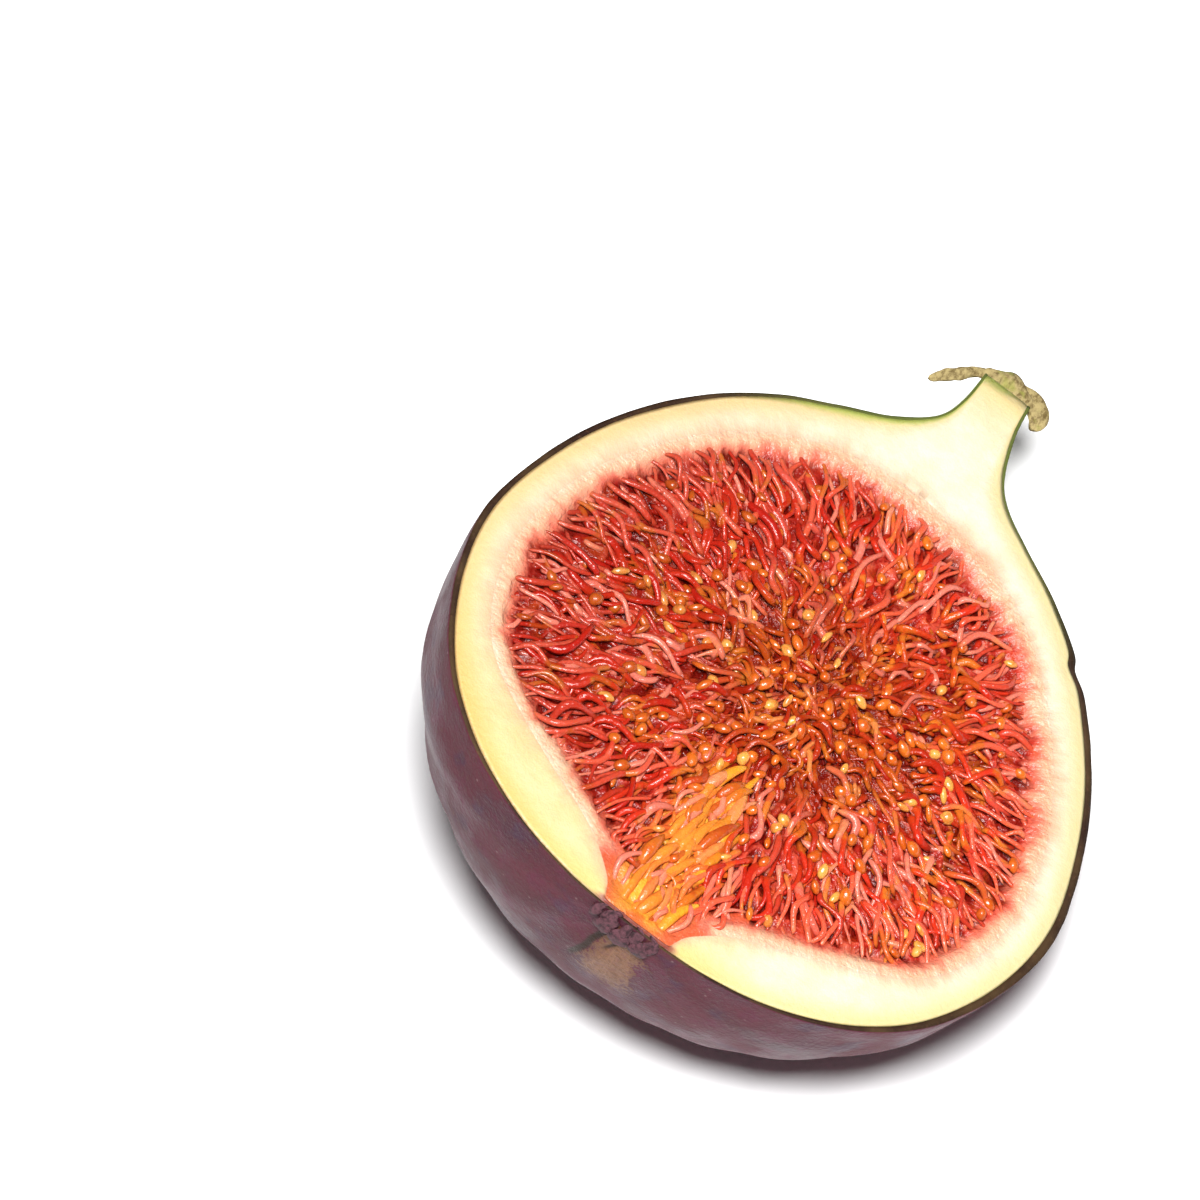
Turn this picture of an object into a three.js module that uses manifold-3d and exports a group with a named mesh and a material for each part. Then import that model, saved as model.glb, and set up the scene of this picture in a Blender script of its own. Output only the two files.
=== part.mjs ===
// Half of a ripe fig, cut lengthwise through its stalk and its eye, lying on its rounded back with the cut
// face up. Millimetres.
//
// The fruit has a frame of its own: the cut is its plane z = 0 with the fruit below it, +Y runs from the
// eye (the pore at the blossom end) to the stalk, and +X is to the right of someone who looks at the cut
// face with the stalk up. One group then rolls and dips the fruit into the way it lies, with the spot that
// it has flattened under its own weight on the plane z = 0 of the part.
//
// The fruit is a fleshy cup that has closed over its own flowers: a thin skin, a pale wall under it, and
// the florets that line the wall and point at its heart. Each is a thin foot that swells into a seed coat.

import * as THREE from "three";
import { mergeVertices } from "three/addons/utils/BufferGeometryUtils.js";
import Module from "manifold-3d";

const wasm = await Module();
wasm.setup();

// How the half fig lies
const STALK_DIP = 11.6; // degrees that the stalk points below level
const ROLL = 20.55; // degrees that the cut face leans towards +X
const REST_DEPTH = 23.6; // from the middle of the cut face down to the surface it lies on
const BACK_DEPTH = 0.965; // depth of the rounded back, against half the fruit's width

// Thicknesses and clearances
const SKIN = 0.65;
const GAP = 0.3; // between neighbouring pieces
const STALK_SHIFT = 1.0; // how far the stalk leans to +X
const STALK_BEND = [25, 31]; // heights between which it leans over

// Outlines as [radius, height]: the skin from the eye to the stalk's end, and the hollow that the florets
// fill, which opens through the wall at the eye
const SKIN_OUTLINE = [
  [0, -23.4], [6, -23.1], [12, -21.6], [17.6, -18.6], [22, -14.2], [25, -8], [26, -1.5], [24.8, 5],
  [22, 11.8], [17.3, 18.5], [12.9, 22.5], [8.9, 25], [5.4, 27.2], [3.3, 29.7], [2.4, 32.5], [2.1, 35.6],
];
const HOLLOW_OUTLINE = [
  [0, -23.3], [3.7, -23], [4.3, -20.6], [6.6, -18.2], [11.5, -15.9], [16.2, -13.6], [20, -10.8], [22.2, -6.6],
  [22.9, -1.5], [22.2, 3.6], [20.5, 8.2], [17.6, 13], [14, 17.2], [9.6, 20.4], [5, 22], [0, 22.6],
];

// Rows and sides of what is turned from them
const SKIN_MESH = { rows: 30, sides: 80 };
const WALL_MESH = { rows: 22, sides: 56 };
const HOLLOW_MESH = { rows: 16, sides: 48 };

// Low ribs that run over the skin from the eye to the stalk
const RIBS = 20;
const RIB_HEIGHT = 0.4;
const RIB_FADE = [7, 20]; // radii between which the ribs rise to full height

// Florets on the cut
const HEART = new THREE.Vector2(2, 2.2); // the point that they lean to
const BED_DEPTH = 0.75; // the bed between them, below the cut
const FLORET_OUTLINE = [[0, 0], [0.66, 0.6], [1.1, 4.4], [0, 6]]; // [radius, distance from its root]
const FLORET_SIDES = 3;
const FLORET_SINK = 0.63; // a floret's middle line, below the cut
const FLORET_BOW = 0.7; // most that its middle bends to either side
const FLORET_LIFT = [0.3, 0.65]; // least and most that its tip stands above its root
const FLORET_TURN = 0.3; // most that it points away from the heart, in radians
const FLORET_RINGS = [
  // share of the way from the wall to the heart, number round the ring, length against the outline's
  { inset: 0.02, count: 58, length: 0.9 },
  { inset: 0.24, count: 48, length: 0.78 },
  { inset: 0.43, count: 38, length: 0.66 },
  { inset: 0.6, count: 27, length: 0.56 },
  { inset: 0.76, count: 16, length: 0.48 },
  { inset: 0.92, count: 6, length: 0.42 },
];

// The eye: a plug in the pore, and pointed scales that fan out from it over the skin
const PORE_RADIUS = 2.3;
const PLUG = { inner: 0.6, outer: 0.8 }; // how far it reaches into the fruit and out of it
const SCALE = { length: 3.4, width: 2.2, thickness: 1, start: 0.4 }; // start: distance from the eye's middle
const SCALE_TIP = { narrowing: 0.75, rise: 0.35 }; // how a scale's tip differs from its root
const SCALE_FAN = [8, 47, 90, 133, 172]; // degrees round the eye, from one side of the cut to the other
const SCALE_OVERLAP = [0.55, 0.67]; // depths at which the scales lie in turn

// The stalk's dry end: a cap on the cut stalk, with a torn strip that has curled away and a folded flap
const CAP = { top: 2.1, bottom: 2.5, height: 1 };
const STRIP = {
  radius: 0.65,
  line: [[0.2, 36.4, -0.9], [-1.7, 36.2, -0.9], [-3.3, 34.8, -1], [-4.8, 33, -1.1]],
};
const FLAP = {
  radius: 0.8,
  line: [[1, 36.5, -0.9], [2.9, 36.9, -1], [4.2, 35.9, -1.1], [4.3, 34.6, -1.2]],
};
const STRIP_FLATNESS = 0.8; // thickness of a strip against its width
const STRIP_MESH = { sides: 7, steps: 6 };

// Seeded random numbers, the same on every run
let seed = 20117;
function random() {
  seed = (seed * 1664525 + 1013904223) % 4294967296;
  return seed / 4294967296;
}
const spread = (half) => (random() * 2 - 1) * half;

const toRadians = THREE.MathUtils.degToRad;
const smooth = THREE.MathUtils.smoothstep;

const resting = new THREE.Euler(toRadians(-STALK_DIP), toRadians(ROLL), 0, "XYZ");
const down = new THREE.Vector3(0, 0, -1).applyQuaternion(
  new THREE.Quaternion().setFromEuler(resting).invert(),
);

// Solids

function solidOf(geometry) {
  const bare = geometry.clone();
  bare.deleteAttribute("normal");
  bare.deleteAttribute("uv");
  const merged = mergeVertices(bare, 1e-4);
  return new wasm.Manifold(
    new wasm.Mesh({
      numProp: 3,
      vertProperties: merged.attributes.position.array,
      triVerts: new Uint32Array(merged.index.array),
    }),
  );
}

function geometryOf(solid) {
  const { vertProperties, triVerts } = solid.getMesh();
  const geometry = new THREE.BufferGeometry();
  geometry.setAttribute("position", new THREE.BufferAttribute(new Float32Array(vertProperties), 3));
  geometry.setIndex(new THREE.BufferAttribute(new Uint32Array(triVerts), 1));
  geometry.computeVertexNormals();
  return geometry;
}

function moveEach(geometry, move) {
  const position = geometry.attributes.position;
  const point = new THREE.Vector3();
  for (let i = 0; i < position.count; i++) {
    move(point.fromBufferAttribute(position, i));
    position.setXYZ(i, point.x, point.y, point.z);
  }
  return geometry;
}

const disc = (top, bottom, height, sides) => new THREE.CylinderGeometry(top, bottom, height, sides);

// The largest body of a solid, with the small hollows that fusing has sealed in it filled
const largest = (solid) => solid.decompose().sort((a, b) => b.volume() - a.volume())[0];

// All that lies under a level of the fruit's frame; the cut itself is level 0
const BLOCK = 100; // larger than the fruit
const block = new THREE.BoxGeometry(BLOCK, BLOCK, BLOCK);
const below = (level) => solidOf(block.clone().translate(0, 0, level - BLOCK / 2));

// Turned outlines

// A smooth profile through an outline's points, with more rows where the points lie closer
const smoothed = (outline, rows) =>
  new THREE.SplineCurve(outline.map(([r, y]) => new THREE.Vector2(r, y))).getPoints(rows);

// A profile moved inwards, or outwards for a negative distance
function inset(profile, distance) {
  return profile.map((point, i) => {
    const before = profile[Math.max(i - 1, 0)];
    const after = profile[Math.min(i + 1, profile.length - 1)];
    const along = after.clone().sub(before).normalize();
    return new THREE.Vector2(
      Math.max(point.x - distance * along.y, 0),
      point.y + distance * along.x,
    );
  });
}

// A profile carried on past the stalk's end
function lengthened(profile, by) {
  const end = profile.at(-1);
  return [...profile, new THREE.Vector2(end.x, end.y + by)];
}

// Every third rib stands taller than its neighbours
const ribHeight = (angle, radius) =>
  RIB_HEIGHT *
  smooth(radius, ...RIB_FADE) *
  (0.5 + 0.3 * Math.cos(RIBS * angle) + 0.2 * Math.cos((RIBS / 3) * angle));

// A closed solid turned from a profile. It leans with the stalk, and lies flat at its floor: the distance
// from the fruit's frame down to the resting plane that this layer reaches.
function turned(profile, sides, { floor = Infinity, ribs = false } = {}) {
  const points = profile.map((p) => p.clone());
  points[0].x = 0;
  const end = points.at(-1);
  if (end.x > 0) {
    points.push(new THREE.Vector2(0, end.y));
  }
  const geometry = new THREE.LatheGeometry(points, sides);
  moveEach(geometry, (p) => {
    const radius = Math.hypot(p.x, p.z);
    if (ribs && radius > 0) {
      const taller = 1 + ribHeight(Math.atan2(p.z, p.x), radius) / radius;
      p.x *= taller;
      p.z *= taller;
    }
    p.x += STALK_SHIFT * smooth(p.y, ...STALK_BEND);
    p.z *= BACK_DEPTH;
    const under = p.dot(down) - floor;
    if (under > 0) {
      p.addScaledVector(down, -under);
    }
  });
  return solidOf(geometry);
}

const skinProfile = smoothed(SKIN_OUTLINE, SKIN_MESH.rows);
const wallProfile = smoothed(SKIN_OUTLINE, WALL_MESH.rows);
const hollowProfile = smoothed(HOLLOW_OUTLINE, HOLLOW_MESH.rows);
const eyeHeight = skinProfile[0].y;
const stalkTop = skinProfile.at(-1).y;

// Skin: a thin shell, open at the stalk's end and at the pore
function makeSkin() {
  const outside = turned(skinProfile, SKIN_MESH.sides, { floor: REST_DEPTH, ribs: true });
  const core = lengthened(inset(wallProfile, SKIN), CAP.height);
  const inside = turned(core, WALL_MESH.sides, { floor: REST_DEPTH - SKIN });
  const pore = disc(PORE_RADIUS, PORE_RADIUS, 6 * SKIN, 20).translate(0, eyeHeight, 0);
  return outside.subtract(inside).subtract(solidOf(pore)).intersect(below(0));
}

// What the skin leaves room for
function fleshRoom() {
  const depth = SKIN + GAP;
  return turned(inset(wallProfile, depth), WALL_MESH.sides, { floor: REST_DEPTH - depth });
}

// Wall: the pale flesh between the skin and the florets, and all of the stalk's inside
const makeWall = () =>
  fleshRoom().subtract(turned(hollowProfile, HOLLOW_MESH.sides)).intersect(below(0));

// One floret at the cut: its root at (x, y), lying in the bed and pointing along a heading
function floret(root, heading, length, thickness) {
  const outline = FLORET_OUTLINE.map(([r, along]) => new THREE.Vector2(r * thickness, along * length));
  const geometry = new THREE.LatheGeometry(outline, FLORET_SIDES);
  const bow = spread(FLORET_BOW);
  const lift = THREE.MathUtils.lerp(...FLORET_LIFT, random());
  const reach = outline.at(-1).y;
  moveEach(geometry, (p) => {
    const share = p.y / reach;
    p.x += bow * Math.sin(Math.PI * share);
    p.z += lift * share - FLORET_SINK;
  });
  geometry.rotateZ(heading - Math.PI / 2);
  geometry.translate(root.x, root.y, 0);
  return solidOf(geometry);
}

// Both sides of the floret mass on the cut: a profile and its mirror image
function bothSides(profile) {
  const right = profile.slice(0, -1);
  const left = profile.slice(1).reverse().map((p) => new THREE.Vector2(-p.x, p.y));
  return [...right, ...left];
}

// Florets: the bed that fills the hollow, and the florets that stand out of it in rings towards the heart
function makeFlorets() {
  const rim = new THREE.CatmullRomCurve3(
    bothSides(hollowProfile).map((p) => new THREE.Vector3(p.x, p.y, 0)),
    true,
  );
  const florets = [];
  for (const { inset: share, count, length } of FLORET_RINGS) {
    for (let i = 0; i < count; i++) {
      const wall = rim.getPointAt((i + 0.5 + spread(0.3)) / count);
      const root = new THREE.Vector2(wall.x, wall.y).lerp(HEART, share + spread(0.03));
      const heading = HEART.clone().sub(root).angle() + spread(FLORET_TURN);
      florets.push(floret(root, heading, length * (1 + spread(0.15)), 1 + spread(0.15)));
    }
  }
  const mass = inset(hollowProfile, GAP);
  const prism = new THREE.ExtrudeGeometry(new THREE.Shape(bothSides(mass)), {
    depth: 2 * BLOCK,
    bevelEnabled: false,
  });
  const upright = solidOf(prism.translate(0, 0, -BLOCK));
  const standing = wasm.Manifold.union(florets).intersect(upright);
  const bed = turned(mass, HOLLOW_MESH.sides).intersect(below(-BED_DEPTH));
  return largest(bed.add(standing).intersect(fleshRoom()));
}

// Eye scales
function makeEyeScales() {
  const plugRadius = PORE_RADIUS - GAP;
  const plug = disc(plugRadius, plugRadius, PLUG.inner + PLUG.outer, 14);
  plug.translate(0, eyeHeight + (PLUG.inner - PLUG.outer) / 2, 0);
  const scales = SCALE_FAN.map((degrees, i) => {
    const geometry = new THREE.SphereGeometry(1, 7, 4);
    geometry.scale(SCALE.length / 2, SCALE.thickness / 2, SCALE.width / 2);
    moveEach(geometry, (p) => {
      const tip = smooth(p.x, 0, SCALE.length / 2);
      p.z *= 1 - SCALE_TIP.narrowing * tip;
      p.y += SCALE_TIP.rise * tip;
    });
    geometry.translate(SCALE.length / 2 + SCALE.start, eyeHeight - SCALE_OVERLAP[i % 2], 0);
    return solidOf(geometry.rotateY(toRadians(degrees)));
  });
  const clearOfSkin = turned(inset(skinProfile, -GAP), SKIN_MESH.sides, { ribs: true });
  return wasm.Manifold.union(scales).subtract(clearOfSkin).add(solidOf(plug)).intersect(below(0));
}

// Stalk end
function bentStrip({ line, radius }) {
  const ring = new THREE.EllipseCurve(0, 0, radius, radius * STRIP_FLATNESS);
  const section = new THREE.Shape(ring.getSpacedPoints(STRIP_MESH.sides).slice(1));
  const path = new THREE.CatmullRomCurve3(line.map((p) => new THREE.Vector3(...p)));
  return solidOf(
    new THREE.ExtrudeGeometry(section, {
      steps: STRIP_MESH.steps,
      bevelEnabled: false,
      extrudePath: path,
    }),
  );
}

function makeStalkEnd() {
  const cap = disc(CAP.top, CAP.bottom, CAP.height, 12);
  cap.translate(STALK_SHIFT, stalkTop + GAP + CAP.height / 2, 0);
  const halfCap = solidOf(cap).intersect(below(0));
  const clearOfStalk = turned(inset(wallProfile, -GAP), WALL_MESH.sides);
  return wasm.Manifold.union([halfCap, bentStrip(STRIP), bentStrip(FLAP)]).subtract(clearOfStalk);
}

// Assembly

const coloured = (color, roughness) => new THREE.MeshStandardMaterial({ color, roughness, metalness: 0 });

const fruit = new THREE.Group();
fruit.rotation.copy(resting);
for (const [name, solid, material] of [
  ["skin", makeSkin(), coloured(0x54384a, 0.5)],
  ["wall", makeWall(), coloured(0xf3e8b0, 0.4)],
  ["florets", makeFlorets(), coloured(0xb8402c, 0.3)],
  ["eye_scales", makeEyeScales(), coloured(0x6b4a3c, 0.7)],
  ["stalk_end", makeStalkEnd(), coloured(0x6e5a2c, 0.85)],
]) {
  const mesh = new THREE.Mesh(geometryOf(solid), material);
  mesh.name = name;
  fruit.add(mesh);
}

// The origin is the middle of the fruit's footprint, on the surface that it lies on
const part = new THREE.Group();
part.add(fruit);
const bounds = new THREE.Box3().setFromObject(part, true);
const middle = bounds.getCenter(new THREE.Vector3());
fruit.position.set(-middle.x, -middle.y, REST_DEPTH);

export default part;
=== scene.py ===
"""Half of a ripe fig, cut lengthwise and lying on its back with the cut face up.

The shapes are worked out in the fruit's own frame, in millimetres: the cut is its plane z = 0, +Y runs from
the eye to the stalk. place() turns and dips them into the way the fruit lies and gives metres.
"""

import math
import random

import bmesh
import bpy
import numpy as np
from mathutils import Matrix, Vector, noise


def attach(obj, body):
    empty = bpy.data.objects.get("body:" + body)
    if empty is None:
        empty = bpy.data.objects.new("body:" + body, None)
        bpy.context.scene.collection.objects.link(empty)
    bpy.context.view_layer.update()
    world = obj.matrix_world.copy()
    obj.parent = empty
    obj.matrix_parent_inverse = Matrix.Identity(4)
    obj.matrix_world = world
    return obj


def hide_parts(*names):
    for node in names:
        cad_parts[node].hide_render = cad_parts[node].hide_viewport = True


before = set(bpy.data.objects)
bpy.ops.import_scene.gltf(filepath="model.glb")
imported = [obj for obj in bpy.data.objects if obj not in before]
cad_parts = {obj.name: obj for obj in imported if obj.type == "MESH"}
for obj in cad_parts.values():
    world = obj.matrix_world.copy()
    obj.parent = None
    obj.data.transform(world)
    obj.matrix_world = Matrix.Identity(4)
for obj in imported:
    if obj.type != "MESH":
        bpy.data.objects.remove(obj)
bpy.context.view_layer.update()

MM = 0.001
random.seed(41)

# How the half fig lies
STALK_DIP = math.radians(11.6)
ROLL = math.radians(20.55)
FACE_MIDDLE = Vector((0.777, -5.994, 23.6))  # the fruit frame's origin, in the part's frame
BACK_DEPTH = 0.965  # how deep the half is for its radius
LIE = Matrix.Rotation(-STALK_DIP, 4, "X") @ Matrix.Rotation(ROLL, 4, "Y")
LIE_PLACE = Matrix.Scale(MM, 4) @ Matrix.Translation(FACE_MIDDLE) @ LIE

# Outlines as (radius, height), from the eye to the stalk
SKIN_OUTLINE = [
    (0, -23.4), (6, -23.1), (12, -21.6), (17.6, -18.6), (22, -14.2), (25, -8), (26, -1.5), (24.8, 5),
    (22, 11.8), (17.3, 18.5), (12.9, 22.5), (8.9, 25), (5.4, 27.2), (3.3, 29.7), (2.4, 32.5), (2.1, 35.6),
]
HOLLOW_OUTLINE = [
    (0, -23.3), (2.6, -23.1), (3.7, -20.9), (6.5, -18.3), (11.5, -15.9), (16.2, -13.6), (20, -10.8),
    (22.2, -6.6), (22.9, -1.5), (22.2, 3.6), (20.5, 8.2), (17.6, 13), (14, 17.2), (9.6, 20.4), (5, 22),
    (0, 22.6),
]
STALK_SHIFT = 1.0  # how far the stalk leans to the right
STALK_BEND = (25, 31)  # the heights over which it does
RIBS = 20
RIB_HEIGHT = 0.4
RIB_FADE = (7, 20)  # the radii over which the ribs rise
SKIN_THICKNESS = 0.22
HEART = Vector((2, 2.2, 0))  # what the florets point at

# Small marks on the fruit
DENT = {"height": 18.8, "depth": 0.55, "length": 0.75, "spread": 0.16}
SCAR = {"start": 1.0, "end": 11.5, "half_width": 2.5}


def smooth(value, low, high):
    """0 below low, 1 above high, and an S-curve between them."""
    share = min(max((value - low) / (high - low), 0.0), 1.0)
    return share * share * (3 - 2 * share)


def lump(x, y, z, size, seed=0.0):
    """Soft noise between about -1 and 1, with bumps of a size in millimetres."""
    return noise.noise(Vector((x / size, y / size, z / size + seed)))


# Outlines

def smoothed(outline, rows=400):
    """A smooth line through an outline's points."""
    points = np.array(outline, float)
    last = len(points) - 1
    line = []
    for t in np.linspace(0, last, rows + 1):
        i = min(int(t), last - 1)
        w = t - i
        before, here, ahead, beyond = (points[min(max(i + k, 0), last)] for k in (-1, 0, 1, 2))
        leave, arrive = (ahead - before) / 2, (beyond - here) / 2
        line.append(
            (2 * here - 2 * ahead + leave + arrive) * w**3
            + (-3 * here + 3 * ahead - 2 * leave - arrive) * w**2
            + leave * w + here
        )
    return np.array(line)


def inset(line, distance):
    """A line moved inwards, towards the fruit's axis."""
    along = np.gradient(line, axis=0)
    along /= np.linalg.norm(along, axis=1)[:, None]
    moved = line + distance * np.stack([-along[:, 1], along[:, 0]], axis=1)
    moved[:, 0] = np.maximum(moved[:, 0], 0)
    return moved


def even(line, rows):
    """The same line with its points at even distances."""
    steps = np.linalg.norm(np.diff(line, axis=0), axis=1)
    run = np.concatenate([[0], np.cumsum(steps)])
    at = np.linspace(0, run[-1], rows + 1)
    return np.stack([np.interp(at, run, line[:, k]) for k in (0, 1)], axis=1)


def polar(line):
    """Angles from the stalk and distances from the middle, in rising order of angle."""
    angle = np.arctan2(line[:, 0], line[:, 1])
    order = np.argsort(angle)
    return angle[order], np.hypot(line[:, 0], line[:, 1])[order]


skin_line = smoothed(SKIN_OUTLINE)
hollow_line = smoothed(HOLLOW_OUTLINE)
hollow_angles, hollow_radii = polar(hollow_line)


def rib_height(angle, radius):
    ripple = 0.5 + 0.3 * math.cos(RIBS * angle) + 0.2 * math.cos(RIBS / 3 * angle)
    return RIB_HEIGHT * smooth(radius, *RIB_FADE) * ripple


def dent(height, turn):
    """How far the small crease beside the stalk's shoulder sinks in; turn is 0 at the right of the cut."""
    across = math.exp(-(((height - DENT["height"]) / DENT["length"]) ** 2))
    return DENT["depth"] * across * math.exp(-((turn / DENT["spread"]) ** 2))


def turned(radius, height, turn):
    """A point of the outline turned round the fruit's axis: turn 0 is the right of the cut, pi the left."""
    x = radius * math.cos(turn) + STALK_SHIFT * smooth(height, *STALK_BEND)
    return x, height, -radius * math.sin(turn) * BACK_DEPTH


# Meshes

def place(points):
    """Fruit frame in millimetres to the part's frame in metres."""
    matrix = np.array(LIE_PLACE)
    return np.asarray(points, float) @ matrix[:3, :3].T + matrix[:3, 3]


SOFT_CORNER = 0.08 * MM  # how softly the flat spot that the fruit rests on ends


def settle(points, floors):
    """Flattens what would reach below its floor: heights in millimetres above the surface it lies on."""
    z = points[:, 2] - floors * MM
    # A little lower than the smooth corner, so that what is well below the floor ends flat on it
    lifted = (z + np.sqrt(z * z + SOFT_CORNER * SOFT_CORNER)) / 2 - SOFT_CORNER / 40
    points[:, 2] = np.maximum(lifted, 0) + floors * MM
    return points


def new_object(name, data):
    """An object in the scene."""
    made = bpy.data.objects.new(name, data)
    bpy.context.scene.collection.objects.link(made)
    return made


def add_attribute(mesh, title, values):
    """A float for each point of a mesh, which the finishes read by its title."""
    layer = mesh.attributes.new(title, "FLOAT", "POINT")
    layer.data.foreach_set("value", np.asarray(values, np.float32).ravel())


def ringed(name, loops, titles=(), close=False, floors=None):
    """A closed mesh through loops of points, one loop after the other. Behind its place, each point holds
    its values of the attributes in titles. With close, what the loops leave open is filled."""
    loops = np.asarray(loops, float)
    rows, count = loops.shape[:2]
    points = place(loops[..., :3].reshape(-1, 3))
    if floors is not None:
        points = settle(points, np.tile(floors, rows) if np.ndim(floors) else floors)
    i, k = np.meshgrid(np.arange(rows - 1), np.arange(count), indexing="ij")
    after = (k + 1) % count
    faces = np.stack(
        [i * count + k, (i + 1) * count + k, (i + 1) * count + after, i * count + after], axis=-1
    )
    mesh = bpy.data.meshes.new(name)
    mesh.from_pydata(points.tolist(), [], faces.reshape(-1, 4).tolist())
    for index, title in enumerate(titles, 3):
        add_attribute(mesh, title, loops[..., index])
    if close:
        fill_holes(mesh)
    return finished(name, mesh)


def fill_holes(mesh):
    work = bmesh.new()
    work.from_mesh(mesh)
    bmesh.ops.holes_fill(work, edges=[edge for edge in work.edges if edge.is_boundary], sides=0)
    bmesh.ops.triangulate(work, faces=[face for face in work.faces if len(face.verts) > 4])
    work.to_mesh(mesh)
    work.free()


def finished(name, mesh, weld=2e-6):
    """Welds seams and poles, turns the faces outwards, and makes the object."""
    work = bmesh.new()
    work.from_mesh(mesh)
    bmesh.ops.remove_doubles(work, verts=work.verts, dist=weld)
    bmesh.ops.dissolve_degenerate(work, edges=work.edges, dist=weld / 4)
    bmesh.ops.recalc_face_normals(work, faces=work.faces)
    work.to_mesh(mesh)
    work.free()
    mesh.shade_smooth()
    return new_object(name, mesh)


def joined(name, pieces):
    """One object from several meshes that share a material."""
    work = bmesh.new()
    for piece in pieces:
        work.from_mesh(piece.data)
        bpy.data.objects.remove(piece)
    mesh = bpy.data.meshes.new(name)
    work.to_mesh(mesh)
    work.free()
    mesh.shade_smooth()
    return new_object(name, mesh)


# Node helpers

def group_with(name, kind, inputs, outputs):
    """A node group with sockets by title and kind: its tree, what it is given and what it has to put out."""
    tree = bpy.data.node_groups.new(name, kind)
    for way, sockets in (("INPUT", inputs), ("OUTPUT", outputs)):
        for title, socket in sockets.items():
            tree.interface.new_socket(title, in_out=way, socket_type="NodeSocket" + socket)
    return tree, tree.nodes.new("NodeGroupInput").outputs, tree.nodes.new("NodeGroupOutput").inputs


def feed(tree, socket, value):
    """Links a socket to another one, or sets it."""
    if isinstance(value, bpy.types.NodeSocket):
        tree.links.new(value, socket)
    else:
        socket.default_value = value


def add(tree, kind, links=(), **settings):
    """A node with its settings, and its inputs linked or set by name or number. It gives its outputs."""
    made = tree.nodes.new(kind)
    for title, value in settings.items():
        setattr(made, title, value)
    for title, value in dict(links).items():
        feed(tree, made.inputs[title], value)
    return made.outputs


# The others find the tree through the socket that they are given.

def maths(operation, *values):
    tree = next(value.id_data for value in values if isinstance(value, bpy.types.NodeSocket))
    return add(tree, "ShaderNodeMath", enumerate(values), operation=operation)[0]


def times(first, second):
    return maths("MULTIPLY", first, second)


def plus(first, second):
    return maths("ADD", first, second)


def minus(first, second):
    return maths("SUBTRACT", first, second)


def vector_maths(operation, *vectors):
    made = add(vectors[0].id_data, "ShaderNodeVectorMath", enumerate(vectors), operation=operation)
    return made["Value" if operation in ("DISTANCE", "LENGTH") else "Vector"]


def scaled(vector, scale):
    return add(vector.id_data, "ShaderNodeVectorMath", {0: vector, "Scale": scale}, operation="SCALE")[0]


def split(vector):
    return add(vector.id_data, "ShaderNodeSeparateXYZ", {0: vector})


def mapped(value, low, high, to_low=0.0, to_high=1.0):
    """A value stretched from one range to another, with soft ends."""
    return add(value.id_data, "ShaderNodeMapRange", {
        "Value": value, "From Min": low, "From Max": high, "To Min": to_low, "To Max": to_high,
    }, interpolation_type="SMOOTHSTEP")["Result"]


def mixed(factor, first, second, blend="MIX"):
    first, second = ((*colour, 1) if isinstance(colour, tuple) else colour for colour in (first, second))
    return add(factor.id_data, "ShaderNodeMix", {0: factor, 6: first, 7: second},
               data_type="RGBA", blend_type=blend)[2]


def layered(colour, *layers):
    """A colour with others laid over it in turn, each with its mask first."""
    for mask, over, *blend in layers:
        colour = mixed(mask, colour, over, *blend)
    return colour


def noisy(vector, scale, detail=3.0, rough=0.55):
    return add(vector.id_data, "ShaderNodeTexNoise", {
        "Vector": vector, "Scale": scale, "Detail": detail, "Roughness": rough,
    })["Fac"]


# Shader groups

def fruit_place_group():
    """Where a point of the surface is in the fruit's own frame, in millimetres."""
    tree, _, out = group_with("FruitPlace", "ShaderNodeTree", {}, {
        "Place": "Vector", "Across": "Float", "Height": "Float", "Depth": "Float", "From Heart": "Float",
    })
    matrix = Matrix.Translation(FACE_MIDDLE * MM) @ LIE
    local = add(tree, "ShaderNodeMapping", {
        "Vector": add(tree, "ShaderNodeTexCoord")["Object"],
        "Location": matrix.to_translation(),
        "Rotation": matrix.to_euler("XYZ"),
    }, vector_type="TEXTURE")
    where = scaled(local[0], 1 / MM)
    level = vector_maths("MULTIPLY", where, (1, 1, 0))
    tree.links.new(where, out["Place"])
    for title, value in zip(("Across", "Height", "Depth"), split(where)):
        tree.links.new(value, out[title])
    tree.links.new(vector_maths("DISTANCE", level, HEART), out["From Heart"])
    return tree


def streaks_group():
    """Soft bands that run from the eye to the stalk, broken up along their length."""
    tree, given, out = group_with("Streaks", "ShaderNodeTree", {
        "Place": "Vector", "Bands": "Float", "Drift": "Float", "Sharpness": "Float",
    }, {"Mask": "Float"})
    parts = split(given["Place"])
    turn = maths("ARCTAN2", parts["Z"], parts["X"])
    across = times(turn, given["Bands"])
    along = times(parts["Y"], given["Drift"])
    where = add(tree, "ShaderNodeCombineXYZ", {0: across, 1: along})
    fac = noisy(where[0], 1.0, 4.0, 0.6)
    low = minus(0.5, given["Sharpness"])
    high = plus(0.5, given["Sharpness"])
    tree.links.new(mapped(fac, low, high), out["Mask"])
    return tree


def freckles_group():
    """Small dots scattered over a surface."""
    tree, given, out = group_with("Freckles", "ShaderNodeTree", {
        "Place": "Vector", "Spacing": "Float", "Dot": "Float", "Share": "Float",
    }, {"Mask": "Float"})
    scale = maths("DIVIDE", 1.0, given["Spacing"])
    cells = add(tree, "ShaderNodeTexVoronoi", {"Vector": given["Place"], "Scale": scale})
    dot = mapped(cells["Distance"], given["Dot"], 0.0)
    pick = add(tree, "ShaderNodeSeparateColor", {0: cells["Color"]})
    kept = maths("LESS_THAN", pick[0], given["Share"])
    tree.links.new(times(dot, kept), out["Mask"])
    return tree


FRUIT_PLACE = fruit_place_group()
STREAKS = streaks_group()
FRECKLES = freckles_group()


def placed_group(tree, group, **links):
    return add(tree, "ShaderNodeGroup", links, node_tree=group)


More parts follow.
